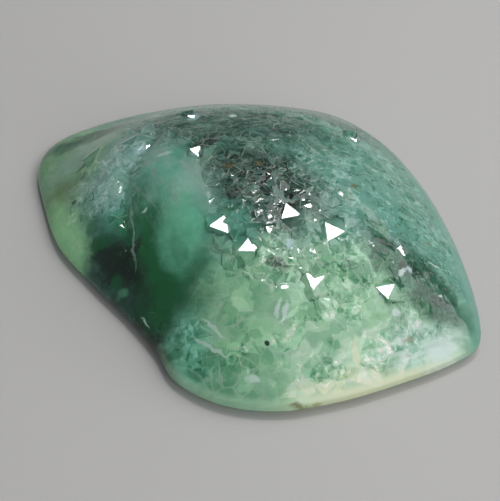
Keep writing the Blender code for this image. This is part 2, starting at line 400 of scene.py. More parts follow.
# %% Where the large points stand
SEED = 11
POINT_SPACING = 1.2
POINT_JITTER = 0.3
POINT_RADIUS = (1.2, 1.65)
POINT_TILT = math.radians(19.0)
POINT_RISE = 0.4
POINT_RISE_LIMIT = 0.7
RIM_ROOM = 0.8
THINNEST_CRUST = 0.35
BRIGHT_POINTS = [
    (-6.8, 0.4, 1.4), (-5.6, 3.4, 0.6), (-3.2, -0.2, 0.7), (0.5, -4.1, 1.2), (2.4, -4.8, 1.1),
    (3.5, -1.9, 1.1), (5.8, -1.7, 1.2), (6.2, -4.6, 1.1), (9.6, -2.8, 1.0), (3.1, 7.4, 0.7),
    (9.3, -0.4, 0.7),
]
BRIGHT_CLEARANCE = 0.6
HUMP_CLEARANCE = 1.2
GOLDEN_TURN = 2.4
NODULES = [
    (3.5, -7.6, 2.5, 2.1, 15.0, 0.45),
    (5.3, -6.3, 1.5, 1.1, 40.0, 0.40),
    (6.0, -8.8, 1.6, 1.4, 10.0, 0.38),
    (8.7, -6.1, 1.7, 1.3, 35.0, 0.38),
    (9.6, -4.2, 1.4, 1.1, 20.0, 0.32),
    (3.0, -9.5, 1.5, 1.0, -10.0, 0.28),
    (7.2, -7.2, 1.2, 1.0, 60.0, 0.32),
]
NODULE_HALF_HEIGHT = 1.0
NODULE_CLEARANCE = 0.75

grown = bpy.data.collections.new("grown_on")
bpy.context.scene.collection.children.link(grown)


def grow(shape, matrix):
    """Copies a modelled shape, with a mesh of its own, to its place in the crust."""
    copy = shape.copy()
    copy.data = shape.data.copy()
    copy.data.transform(Matrix.Scale(MM, 4) @ matrix @ Matrix.Scale(1 / MM, 4))
    grown.objects.link(copy)


def tilted(normal, tilt, heading):
    side = normal.orthogonal().normalized()
    side.rotate(Quaternion(normal, heading))
    return (normal * math.cos(tilt) + side * math.sin(tilt)).normalized()


def standing(tip, radius, height, up, spin):
    """The matrix that stands a point of unit radius with its apex at tip."""
    turn = up.to_track_quat("Z", "Y") @ Quaternion((0, 0, 1), spin)
    return Matrix.Translation(tip - up * height) @ turn.to_matrix().to_4x4() @ Matrix.Scale(radius, 4)


def crust_tip(x, y, height):
    rise = min(POINT_RISE * crust_share(x, y), POINT_RISE_LIMIT * height)
    return on_dome(x, y) + dome_normal(x, y) * rise


def is_taken(x, y):
    """Whether a bright point or a nodule already stands here, or the hump is too near."""
    if any(math.hypot(x - bx, y - by) < BRIGHT_CLEARANCE * size for bx, by, size in BRIGHT_POINTS):
        return True
    if ellipse_share(x, y, HUMP) < HUMP_CLEARANCE:
        return True
    return any(ellipse_share(x, y, nodule[:5]) < NODULE_CLEARANCE for nodule in NODULES)


def crust_places(generator):
    """Plan points of the crust, on a jittered triangular grid."""
    row_gap = POINT_SPACING * math.sqrt(3) / 2
    rows = int(max(abs(y) for x, y in GIRDLE) / row_gap) + 1
    columns = int(max(abs(x) for x, y in GIRDLE) / POINT_SPACING) + 1
    for row in range(-rows, rows + 1):
        for column in range(-columns, columns + 1):
            x = (column + 0.5 * (row % 2)) * POINT_SPACING + generator.uniform(-1, 1) * POINT_JITTER
            y = row * row_gap + generator.uniform(-1, 1) * POINT_JITTER
            if crust_share(x, y) > THINNEST_CRUST:
                yield x, y


generator = random.Random(SEED)
for x, y in crust_places(generator):
    radius = min(generator.uniform(*POINT_RADIUS), RIM_ROOM * room_to_girdle(x, y))
    tilt = POINT_TILT * math.sqrt(generator.random())
    up = tilted(dome_normal(x, y), tilt, generator.uniform(0, math.tau))
    spin = generator.uniform(0, math.tau)
    if not is_taken(x, y):
        height = POINT_STEEPNESS * radius
        shape = large_points[len(grown.objects) % len(large_points)]
        grow(shape, standing(crust_tip(x, y, height), radius, height, up, spin))

# %% Points that face the light
KEY_MIRROR = Vector((0.17, -0.19, 0.967)).normalized()
KEY_DIRECTION = 2 * KEY_MIRROR.dot(TO_CAMERA) * KEY_MIRROR - TO_CAMERA
KEY_DISTANCE = 150.0
HALF_SIDE = math.radians(30)
FACE_SLOPE = math.atan(BRIGHT_STEEPNESS / math.cos(HALF_SIDE))
MIDDLE_OF_FACE = 0.55
BRIGHT_SINK = 0.0


def mirror_normal(place):
    """The way a face at place must point to throw the main light at the camera."""
    to_eye = (camera.location / MM - place).normalized()
    to_light = (KEY_DIRECTION * KEY_DISTANCE - place).normalized()
    return (to_eye + to_light).normalized()


for number, (x, y, radius) in enumerate(BRIGHT_POINTS):
    middle = Vector((x, y, ground_height(x, y) - BRIGHT_SINK))
    facing = mirror_normal(middle)
    up = tilted(facing, FACE_SLOPE, number * GOLDEN_TURN)
    uphill = (up - facing * up.dot(facing)).normalized()
    outward = up.to_track_quat("Z", "Y").inverted() @ facing
    spin = math.atan2(outward.y, outward.x) - HALF_SIDE
    tip = middle + uphill * MIDDLE_OF_FACE * radius
    grow(bright_point, standing(tip, radius, BRIGHT_STEEPNESS * radius, up, spin))
print(len(BRIGHT_POINTS), "bright points, key light from", [round(value, 2) for value in KEY_DIRECTION])

# %% [markdown]
# ## Nodules
# Where the silica set as a gel it formed rounded, glassy swellings. Each is a squashed sphere, a
# little uneven, sunk in the crust until only its cap shows.

# %% Model the nodules
NODULE_UNEVENNESS = 0.05
NODULE_WAVES = 1.3
choose(gem)
bpy.ops.mesh.primitive_uv_sphere_add(segments=56, ring_count=28, radius=MM)
nodule = bpy.context.object
for vertex in nodule.data.vertices:
    vertex.co *= 1.0 + NODULE_UNEVENNESS * noise.noise(vertex.co / MM * NODULE_WAVES)
for finish in FINISHES:
    nodule.data.materials.append(finish)
for face in nodule.data.polygons:
    face.material_index = NODULE
bpy.ops.object.shade_smooth()


def place_nodule(x, y, half_length, half_width, turn, rise, half_height):
    normal = dome_normal(x, y)
    centre = on_dome(x, y) + normal * (rise - half_height)
    turned = normal.to_track_quat("Z", "Y") @ Quaternion((0, 0, 1), math.radians(turn))
    size = Matrix.Diagonal((half_length, half_width, half_height, 1.0))
    grow(nodule, Matrix.Translation(centre) @ turned.to_matrix().to_4x4() @ size)


for x, y, half_length, half_width, turn, rise in NODULES:
    place_nodule(x, y, half_length, half_width, turn, rise, NODULE_HALF_HEIGHT)
print(len(NODULES), "nodules")

# %% [markdown]
# ## Growing it together
# The points and nodules overlap each other and the body. A Boolean union makes them one closed
# solid, as they are in the stone: light then meets a surface only where the real stone has one. The
# manifold solver is made for closed shapes like these, and is quick with hundreds of them.

# %% Union
def unite(obj, collection):
    """Joins every object of the collection to obj and clears the collection."""
    choose(obj)
    bpy.ops.object.modifier_add(type="BOOLEAN")
    union = obj.modifiers[-1]
    union.operation = "UNION"
    union.operand_type = "COLLECTION"
    union.collection = collection
    union.solver = "MANIFOLD"
    bpy.ops.object.modifier_apply(modifier=union.name)
    for copy in list(collection.objects):
        bpy.data.objects.remove(copy)


unite(gem, grown)
print("with large points:", len(gem.data.polygons), "faces")

# %% [markdown]
# ## Second growth
# Between and on the large points sits a second, finer generation. Each small point is dropped onto
# the finished surface and leans more freely. They are thick in the crust, reach nearly to the rim, and
# leave the smooth patches, the bright faces and the nodules clear.

# %% Small points
SMALL_SEED = 23
SMALL_COUNT = 1700
SMALL_RADIUS = (0.2, 0.72)
SMALL_TILT = math.radians(34.0)
SMALL_RISE = 0.3
SMALL_EDGE = 0.93
STAY_SMOOTH = SMOOTH_PATCHES[:4]
NODULE_ROOM = 0.8
BRIGHT_ROOM = 0.75

corners = [vertex.co / MM for vertex in gem.data.vertices]
surface = BVHTree.FromPolygons(corners, [face.vertices for face in gem.data.polygons])
generator = random.Random(SMALL_SEED)
while len(grown.objects) < SMALL_COUNT:
    x = generator.uniform(CAD_BOX[0][0], CAD_BOX[1][0]) / MM
    y = generator.uniform(CAD_BOX[0][1], CAD_BOX[1][1]) / MM
    radius = generator.uniform(*SMALL_RADIUS)
    tilt = SMALL_TILT * math.sqrt(generator.random())
    heading = generator.uniform(0, math.tau)
    spin = generator.uniform(0, math.tau)
    if girdle_share(x, y) > SMALL_EDGE:
        continue
    if any(ellipse_share(x, y, smooth) < 1.0 for smooth in STAY_SMOOTH):
        continue
    if any(math.hypot(x - bx, y - by) < BRIGHT_ROOM * size for bx, by, size in BRIGHT_POINTS):
        continue
    if any(ellipse_share(x, y, swelling[:5]) < NODULE_ROOM for swelling in NODULES):
        continue
    ground = surface.ray_cast(Vector((x, y, 2 * HEIGHT)), Vector((0, 0, -1)))[0]
    up = tilted(dome_normal(x, y), tilt, heading)
    shape = small_points[len(grown.objects) % len(small_points)]
    grow(shape, standing(ground + up * SMALL_RISE * radius, radius, TALL_STEEPNESS * radius, up, spin))
unite(gem, grown)
bpy.data.collections.remove(grown)
for shape in [*large_points, bright_point, *small_points, nodule]:
    bpy.data.objects.remove(shape)
print("finished solid:", len(gem.data.polygons), "faces,", len(gem.data.vertices), "vertices")

# %% [markdown]
# ## Facet tones
# Each crystal face shows the stone behind it in its own brightness. So every flat face gets a number
# from 0 to 1 worked out from the plane it lies in: two pieces of one face then match. Chamfers and
# all that belongs to a crystal are marked too, and the material reads the marks as attributes.

# %% Mark the faces
PLAIN_TONE = 0.5


def plane_number(face):
    """A number from 0 to 1 that all the pieces of one crystal face share."""
    offset = face.normal.dot(face.center) / MM
    key = (round(face.normal.x, 2), round(face.normal.y, 2), round(offset, 1))
    return random.Random(str(key)).random()


def mark_faces(mesh, name, values):
    mark = mesh.attributes.new(name, "FLOAT", "FACE")
    mark.data.foreach_set("value", values)


mesh = gem.data
kinds = [face.material_index for face in mesh.polygons]
tones = [plane_number(face) if kind in (FACET, BRIGHT) else PLAIN_TONE
         for face, kind in zip(mesh.polygons, kinds)]
mark_faces(mesh, "facet", tones)
mark_faces(mesh, "chamfer", [float(kind == CHAMFER) for kind in kinds])
mark_faces(mesh, "crystal", [float(kind in (FACET, CHAMFER)) for kind in kinds])
mesh.polygons.foreach_set("material_index", [0] * len(kinds))
mesh.materials.clear()
print("polished, facet, chamfer, nodule, bright faces:", [kinds.count(kind) for kind in range(5)])

# %% [markdown]
# ## Rubbing the crust down
# In the photo the crust is nearly as level as the polished parts and the outline is quite smooth, as
# if the stone had been domed with its crystals on. Every height above or below the polished surface
# is therefore pressed towards it, in the crust to a third or less, at the shoulder almost to nothing.
# The bright faces keep their slant. The polished shoulder is marked last, for the painted sheen and glow
# laid along it.

# %% Rub the crust down
CRUST_RELIEF = 0.3
BORDER_RELIEF = 0.25
NODULE_RELIEF = 0.5
RIM_RELIEF = 0.04
RIM_ZONE = (0.45, 0.9)


def corners_of(kind):
    """The numbers of all vertices on faces of that kind."""
    faces = [face for face, found in zip(mesh.polygons, kinds) if found == kind]
    return {corner for face in faces for corner in face.vertices}


bright_corners = corners_of(BRIGHT)
nodule_corners = corners_of(NODULE)
for vertex in mesh.vertices:
    x, y, z = vertex.co / MM
    if vertex.index in bright_corners or z < GIRDLE_HEIGHT:
        continue
    crust_relief = CRUST_RELIEF * (BORDER_RELIEF + (1.0 - BORDER_RELIEF) * crust_share(x, y))
    relief = NODULE_RELIEF if vertex.index in nodule_corners else crust_relief
    relief += (RIM_RELIEF - relief) * smooth_step(*RIM_ZONE, girdle_share(x, y))
    ground = ground_height(x, y)
    vertex.co.z = (ground + relief * (z - ground)) * MM
mesh.update()
print("highest point:", round(max(vertex.co.z for vertex in mesh.vertices) / MM, 2), "mm")

# %% Mark the shoulder
SHOULDER_ZONE = (0.93, 0.985)
shares = [girdle_share(vertex.co.x / MM, vertex.co.y / MM) for vertex in mesh.vertices]
shoulder_mark = mesh.attributes.new("shoulder", "FLOAT", "POINT")
shoulder_mark.data.foreach_set("value", [smooth_step(*SHOULDER_ZONE, share) for share in shares])

# %% [markdown]
# ## Sums in a shader
# The stone's colour is worked out from where a point lies, so its material is mostly sums. Writing
# those as Python expressions keeps them readable: a Wire is one output of one node, and every
# operator on it adds a Math node.

# %% Wires
class Wire:
    """One output of a node tree, with Python's operators for sums on it."""

    def __init__(self, tree, socket=None):
        self.tree = tree
        self.socket = socket

    def node(self, kind, settings=None, inputs=None, output=0):
        """Adds a node, sets it up, fills its sockets with values or wires, and returns an output."""
        node = self.tree.nodes.new(kind)
        for name, value in (settings or {}).items():
            setattr(node, name, value)
        for name, value in (inputs or {}).items():
            if isinstance(value, Wire):
                self.tree.links.new(value.socket, node.inputs[name])
            else:
                node.inputs[name].default_value = value
        return Wire(self.tree, node.outputs[output])

    def math(self, operation, first, second=0.0):
        return self.node("ShaderNodeMath", {"operation": operation}, {0: first, 1: second})

    def __add__(self, other):
        return self.math("ADD", self, other)

    def __radd__(self, other):
        return self.math("ADD", other, self)

    def __rsub__(self, other):
        return self.math("SUBTRACT", other, self)

    def __mul__(self, other):
        return self.math("MULTIPLY", self, other)

    def __rmul__(self, other):
        return self.math("MULTIPLY", other, self)

    def ramp(self, low, high, to_low=0.0, to_high=1.0):
        """Goes smoothly from to_low at low to to_high at high."""
        return self.node("ShaderNodeMapRange", {"interpolation_type": "SMOOTHSTEP"}, {
            "Value": self, "From Min": low, "From Max": high, "To Min": to_low, "To Max": to_high})

    def blend(self, under, over, way="MIX"):
        """Colour under, with colour over laid on it where this wire is 1."""
        return self.node("ShaderNodeMix", {"data_type": "RGBA", "blend_type": way},
                         {0: self, 6: under, 7: over}, output=2)


# %% [markdown]
# ## The stone's material
# Gem silica is a clear jelly with milk and dark copper minerals in it. One glassy shader does all of
# that: a part of the light goes through it, a part is scattered under the surface, and absorption
# inside turns what has gone deep greener. The colour map is a few soft-edged patches laid over each
# other like washes, in the places where the photo shows them, with noise to make their edges ragged.

# %% Start the material
TEAL = (0.13, 0.42, 0.31, 1)
GREY_TEAL = (0.22, 0.50, 0.41, 1)
MINT = (0.44, 0.79, 0.49, 1)
PALE_MINT = (0.72, 1.00, 0.74, 1)
SEA_GREEN = (0.28, 0.74, 0.56, 1)
JADE = (0.24, 0.74, 0.50, 1)
PINE = (0.02, 0.13, 0.08, 1)
MOSS = (0.14, 0.44, 0.25, 1)
OLIVE = (0.22, 0.27, 0.10, 1)
FROSTED = (0.44, 0.64, 0.56, 1)
FOREST = (0.03, 0.22, 0.09, 1)
EMERALD = (0.005, 0.16, 0.045, 1)
# Near-black green, used as painted shade on the lower-left flank and in the groove
SHADED_BOTTLE_GREEN = (0.001, 0.010, 0.004, 1)
DARK_TEAL = (0.012, 0.045, 0.034, 1)
LEAF = (0.29, 0.53, 0.29, 1)
LIME = (0.52, 0.98, 0.52, 1)
ASH_GREEN = (0.52, 0.74, 0.72, 1)
CREAM = (0.97, 1.00, 0.66, 1)
# White for painted glints, a painted crescent of light on the big nodule and the painted glow at the sharp
# tip
GLINT_AND_GLOW_WHITE = (0.80, 1.00, 0.90, 1)
OCHRE = (0.26, 0.17, 0.05, 1)
# Pale blue for painted reflections of the sky on bright faces
SKY_REFLECTION_BLUE = (0.62, 0.88, 0.90, 1)
SOOT = (0.004, 0.012, 0.009, 1)

gem_material = bpy.data.materials.new("gem_silica")
gem_material.use_nodes = True
tree = gem_material.node_tree
tree.nodes.clear()
start = Wire(tree)
position = start.node("ShaderNodeTexCoord", output="Object")
facet = start.node("ShaderNodeAttribute", {"attribute_name": "facet"}, output="Fac")
chamfer = start.node("ShaderNodeAttribute", {"attribute_name": "chamfer"}, output="Fac")
crystal = start.node("ShaderNodeAttribute", {"attribute_name": "crystal"}, output="Fac")
shoulder = start.node("ShaderNodeAttribute", {"attribute_name": "shoulder"}, output="Fac")


# %% Noise and soft patches
def noise_wire(size, detail=3.0, roughness=0.55, across=position, output="Fac"):
    """Noise whose blobs are about size millimetres across."""
    return start.node("ShaderNodeTexNoise", None, {
        "Vector": across, "Scale": 1 / (size * MM), "Detail": detail, "Roughness": roughness}, output)


def subtract(first, second):
    return start.node("ShaderNodeVectorMath", {"operation": "SUBTRACT"}, {0: first, 1: second})


WARP = 1.3
NOISE_MIDDLE = (0.5, 0.5, 0.5)
wobble = subtract(noise_wire(2.2, 5.0, 0.62, output="Color"), NOISE_MIDDLE)
warped = start.node("ShaderNodeVectorMath", {"operation": "MULTIPLY_ADD"}, {
    0: wobble, 1: (2 * WARP * MM, 2 * WARP * MM, 0), 2: position})


def patch(x, y, half_length, half_width, turn, softness=0.4, across=warped):
    """1 inside a soft-edged ellipse on the plan, 0 outside it."""
    outer = 1 + softness
    local = start.node("ShaderNodeMapping", {"vector_type": "TEXTURE"}, {
        "Vector": across, "Location": (x * MM, y * MM, 0), "Rotation": (0, 0, math.radians(turn)),
        "Scale": (half_length * outer * MM, half_width * outer * MM, 1)})
    nearness = start.node(
        "ShaderNodeTexGradient", {"gradient_type": "SPHERICAL"}, {"Vector": local}, "Fac")
    return nearness.ramp(0, 2 * softness / outer)


# %% Washes of colour
WASHES = [
    (GREY_TEAL, 0.85, (7.5, 3.0, 8.0, 7.0, -40.0, 0.5)),
    (MINT, 0.95, (7.3, -6.3, 7.6, 4.0, 32.0, 0.35)),
    (PALE_MINT, 0.80, (9.6, -7.0, 5.4, 2.0, 36.0, 0.5)),
    (LEAF, 0.95, (-12.2, -1.5, 3.4, 5.4, 25.0, 0.35)),
    (FROSTED, 0.55, (-11.3, -0.6, 2.2, 1.1, 70.0, 0.6)),
    (ASH_GREEN, 0.80, (-7.6, -1.4, 1.8, 3.6, -10.0, 0.5)),
    (DARK_TEAL, 0.75, (-3.2, 3.5, 5.6, 2.8, 18.0, 0.45)),
    (DARK_TEAL, 0.95, (1.0, -0.5, 3.9, 2.2, 0.0, 0.4)),
    (DARK_TEAL, 0.80, (2.9, -2.6, 1.3, 1.2, 0.0, 0.5)),
    (PINE, 0.92, (10.4, -1.0, 3.5, 1.6, -12.0, 0.4)),
    # The next two darken the far top edges, partly the stone's deep green and partly a painted dark
    # reflection of the surroundings
    (PINE, 0.60, (-2.0, 8.9, 6.5, 1.6, 5.0, 0.5)),
    (PINE, 0.85, (-12.2, 1.6, 2.8, 0.8, 37.0, 0.6)),
    (MOSS, 0.60, (4.6, -10.5, 3.0, 1.2, 8.0, 0.5)),
    (OLIVE, 0.50, (-10.6, -3.4, 1.3, 0.8, -50.0, 0.5)),
    (SEA_GREEN, 0.80, (-4.2, -2.6, 2.6, 1.7, -47.0, 0.5)),
    (FOREST, 0.85, (-1.6, -6.7, 3.8, 1.9, -38.0, 0.45)),
    (EMERALD, 0.95, (-2.2, -7.2, 3.2, 1.3, -36.0, 0.4)),
    (EMERALD, 0.60, (-4.9, -4.4, 0.7, 1.5, 10.0, 0.5)),
    (JADE, 0.85, (-1.6, -4.9, 1.9, 1.2, -47.0, 0.5)),
    # Painted shade: the lower-left flank, which faces away from the light, is laid near-black over its own
    # dark green
    (SHADED_BOTTLE_GREEN, 0.95, (-5.0, -6.9, 2.7, 1.1, -30.0, 0.65)),
    (SHADED_BOTTLE_GREEN, 0.95, (-0.9, -10.1, 2.6, 0.8, -32.0, 0.5)),
    (SEA_GREEN, 0.85, (1.7, -9.9, 1.7, 1.1, -30.0, 0.5)),
    (FROSTED, 0.60, (-2.0, -1.9, 1.9, 0.7, -50.0, 0.5)),
    (FROSTED, 0.50, (-5.3, -0.9, 1.6, 0.5, 60.0, 0.6)),
    # The next three washes are partly painted glow: the low edge of the blunt end, the bottom edge and the
    # sharp tip are lighter where light comes through thin stone, over their own pale green and cream
    (LIME, 0.90, (-8.9, -5.7, 2.6, 1.1, -42.0, 0.5)),
    (CREAM, 0.85, (10.6, -7.7, 4.4, 1.0, 43.0, 0.5)),
    (GLINT_AND_GLOW_WHITE, 0.95, (12.4, -4.1, 2.0, 1.2, 45.0, 0.5)),
]
shade = start.node("ShaderNodeRGB")
shade.socket.default_value = TEAL
for colour, strength, outline in WASHES:
    shade = (patch(*outline) * strength).blend(shade, colour)
dark = patch(0.8, 0.3, 5.5, 3.2, 8.0, 0.4)
pale = patch(7.3, -6.3, 7.6, 4.0, 32.0, 0.35)
deep = patch(-2.4, -7.6, 5.6, 2.3, -35.0, 0.35)
far_dark = patch(10.4, -1.0, 3.5, 1.6, -12.0, 0.4)
print(len(WASHES), "washes of colour")

# %% [markdown]
# On top of the washes come the things that make it a crystal crust: dark and mossy blots, one of them
# painted shade, every face lighter or darker than the next, grains in three sizes, pale lines along their
# borders and along the chamfers, clouds of milk, and last painted glints, sky reflections and tip glow,
# with specks, streaks and a line.

# %% Grains
LARGE_GRAIN = 1.3
MIDDLE_GRAIN = 0.6
FINE_GRAIN = 0.26
TINY_GRAIN = 0.28
GRAIN_WOBBLE = 0.5
fine_wobble = subtract(noise_wire(0.8, 3.0, output="Color"), NOISE_MIDDLE)


def grains(size, feature="F1", output="Color"):
    """Grains about size millimetres across, with ragged borders."""
    ragged = start.node("ShaderNodeVectorMath", {"operation": "MULTIPLY_ADD"}, {
        0: fine_wobble, 1: (GRAIN_WOBBLE * size * MM,) * 3, 2: position})
    return start.node("ShaderNodeTexVoronoi", {"feature": feature},
                      {"Vector": ragged, "Scale": 1 / (size * MM)}, output)


def one_number(colour):
    return start.node("ShaderNodeSeparateColor", None, {"Color": colour}, "Red")


large_grain = grains(LARGE_GRAIN)
middle_grain = grains(MIDDLE_GRAIN)
fine_grain = grains(FINE_GRAIN)
borders = grains(LARGE_GRAIN, "DISTANCE_TO_EDGE", "Distance")
fine_borders = grains(MIDDLE_GRAIN, "DISTANCE_TO_EDGE", "Distance")

# %% Dark and mossy blots
EDGE_WOBBLE = 0.7
ragged_edge = start.node("ShaderNodeVectorMath", {"operation": "MULTIPLY_ADD"}, {
    0: fine_wobble, 1: (EDGE_WOBBLE * MM, EDGE_WOBBLE * MM, 0), 2: position})
BLOTS = [
    (SOOT, 0.9, (-3.1, 0.7, 1.0, 0.5, 70.0)), (SOOT, 0.9, (0.3, -2.2, 0.7, 0.3, 20.0)),
    (SOOT, 0.9, (1.0, -0.4, 1.4, 0.6, 10.0)), (SOOT, 0.9, (3.1, -1.4, 0.8, 0.45, 80.0)),
    (SOOT, 0.8, (4.1, -4.8, 0.6, 0.3, 20.0)), (SOOT, 0.8, (10.1, -1.1, 0.5, 0.4, 20.0)),
    (SOOT, 0.7, (8.5, -0.4, 0.5, 0.3, 60.0)), (SOOT, 0.7, (12.2, -1.5, 0.5, 0.3, 20.0)),
    (MOSS, 0.7, (4.9, -5.4, 0.9, 0.5, 20.0)), (MOSS, 0.6, (8.4, -5.3, 0.6, 0.3, 90.0)),
    (MOSS, 0.7, (3.5, -10.1, 0.9, 0.5, 10.0)), (MOSS, 0.7, (5.9, -8.6, 0.7, 0.4, 40.0)),
    (MOSS, 0.6, (8.3, -6.7, 0.4, 0.3, 0.0)), (MOSS, 0.7, (-3.6, -8.0, 0.35, 0.25, 0.0)),
    (SOOT, 0.8, (-9.4, -3.8, 0.15, 0.12, 0.0)), (SOOT, 0.6, (-10.4, -1.5, 0.3, 0.12, 60.0)),
    (EMERALD, 0.4, (-3.3, -4.7, 0.9, 0.5, -40.0)), (EMERALD, 0.35, (-3.1, -5.9, 0.9, 0.5, -30.0)),
    (EMERALD, 0.3, (-1.2, -5.9, 0.9, 0.4, -47.0)), (EMERALD, 0.6, (1.0, -10.4, 0.5, 0.25, 20.0)),
    (EMERALD, 0.6, (2.6, -10.9, 0.6, 0.25, 10.0)), (FOREST, 0.7, (8.9, -1.6, 0.9, 0.4, 60.0)),
    (FOREST, 0.7, (11.4, -2.3, 0.8, 0.4, 20.0)), (FOREST, 0.7, (8.0, 0.2, 0.7, 0.35, 120.0)),
    # The first blot on the next line is painted shade in the groove
    (SHADED_BOTTLE_GREEN, 0.7, (-4.0, -5.9, 0.5, 0.3, 60.0)), (EMERALD, 0.7, (-6.2, -6.0, 0.6, 0.35, 20.0)),
    (EMERALD, 0.7, (-4.2, -7.6, 0.5, 0.25, -30.0)), (EMERALD, 0.6, (-7.2, -5.2, 0.5, 0.4, 80.0)),
]
for colour, strength, outline in BLOTS:
    shade = (patch(*outline, across=ragged_edge) * strength).blend(shade, colour)

# %% Moss and streaks
HUMP_TURN = HUMP[4]
STREAK_LENGTH = 3.5
moss_clouds = noise_wire(2.2, 4.0).ramp(0.52, 0.62)
shade = (moss_clouds * pale * 0.5).blend(shade, MOSS)
along_hump = start.node("ShaderNodeMapping", {"vector_type": "TEXTURE"}, {
    "Vector": position, "Rotation": (0, 0, math.radians(HUMP_TURN)), "Scale": (STREAK_LENGTH, 1, 1)})
streaks = noise_wire(0.4, 3.0, 0.6, along_hump).ramp(0.46, 0.58) * patch(-4.3, -2.4, 2.8, 1.6, HUMP_TURN)
shade = (streaks * 0.55).blend(shade, FROSTED)

# %% Facets, edges and clouds
FROST = (0.62, 0.80, 0.66, 1)
CLOUD = (0.50, 0.74, 0.56, 1)
GLEAM = (0.14, 0.30, 0.26, 1)
DEEP_TINT = (0.26, 0.56, 0.44, 1)
CLEAR_TINT = (1.65, 1.42, 1.50, 1)
# Partly painted sheen and glow on the polished shoulder: lighter teal where the right rim mirrors the
# light, pale mint and cream where light comes through the thin bottom edge
SHOULDER_SHEEN_AND_GLOW = [
    (GREY_TEAL, 0.7, (12.0, 3.5, 7.0, 5.0, -50.0, 0.4)),
    (PALE_MINT, 0.5, (7.0, -10.0, 9.0, 3.2, 25.0, 0.4)),
    (CREAM, 0.75, (10.9, -7.0, 4.2, 1.8, 48.0, 0.5)),
]


def tint(tone):
    """Green and deep where tone is 0, brighter and paler where it is 1, as thin and thick glass are."""
    return tone.blend(DEEP_TINT, CLEAR_TINT)


shade = (crystal * 0.85).blend(shade, tint(facet), "MULTIPLY")
shade = (0.10 + 0.35 * pale).blend(shade, tint(one_number(large_grain)), "MULTIPLY")
shade = (0.12 + 0.33 * crystal + 0.25 * pale).blend(shade, tint(one_number(middle_grain)), "MULTIPLY")
shade = (0.10 + 0.25 * crystal).blend(shade, tint(one_number(fine_grain)), "MULTIPLY")
lit_face = crystal * facet.ramp(0.62, 0.8) * dark
shade = (lit_face * 0.7).blend(shade, GLEAM)
clear = (1 - deep) * (1 - 0.85 * far_dark)
clouds = noise_wire(1.6, 5.0, 0.62).ramp(0.45, 0.66)
shade = (clouds * clear * (0.18 + 0.30 * pale)).blend(shade, CLOUD)
patchy = noise_wire(2.0, 2.0).ramp(0.42, 0.6)
shade = (borders.ramp(0.06, 0.02) * patchy * clear * (0.05 + 0.5 * pale)).blend(shade, FROST)
fine_lines = fine_borders.ramp(0.05, 0.015) * (1 - patchy) * clear
shade = (fine_lines * (0.4 * pale + 0.2 * crystal)).blend(shade, FROST)
shade = (chamfer * noise_wire(1.1, 2.0).ramp(0.42, 0.58) * (0.10 + 0.3 * clear)).blend(shade, FROST)
# The shoulder mark carries the painted rim sheen and glow
edge = shoulder.ramp(0.6, 1.0)
for colour, strength, outline in SHOULDER_SHEEN_AND_GLOW:
    shade = (patch(*outline) * edge * strength).blend(shade, colour)

